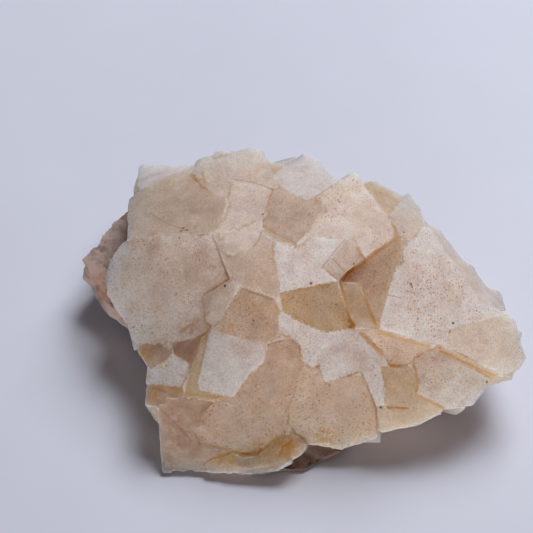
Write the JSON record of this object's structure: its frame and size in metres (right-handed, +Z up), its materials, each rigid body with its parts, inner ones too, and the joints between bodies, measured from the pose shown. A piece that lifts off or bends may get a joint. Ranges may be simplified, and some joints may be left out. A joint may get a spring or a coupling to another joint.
{
  "type": "fluorite specimen",
  "caption": "Hand specimen of pale cloudy fluorite: a crust of intergrown cubic crystals on a loose lump of rough host rock, lying flat.",
  "frame": {"origin": "on the resting plane under the middle of the specimen", "axes": "+Z up out of the crystal side, +X along the specimen's length, -Y towards the side that the crust rolls over"},
  "size_m": [0.1026, 0.0794, 0.0376],
  "materials": {
    "fluorite": "cloudy pale champagne crystal, satin to frosted faces",
    "host_rock": "rough, earthy"
  },
  "bodies": {
    "root": {"fluorite_crystals": "fluorite", "host_rock": "host_rock"}
  },
  "joints": []
}
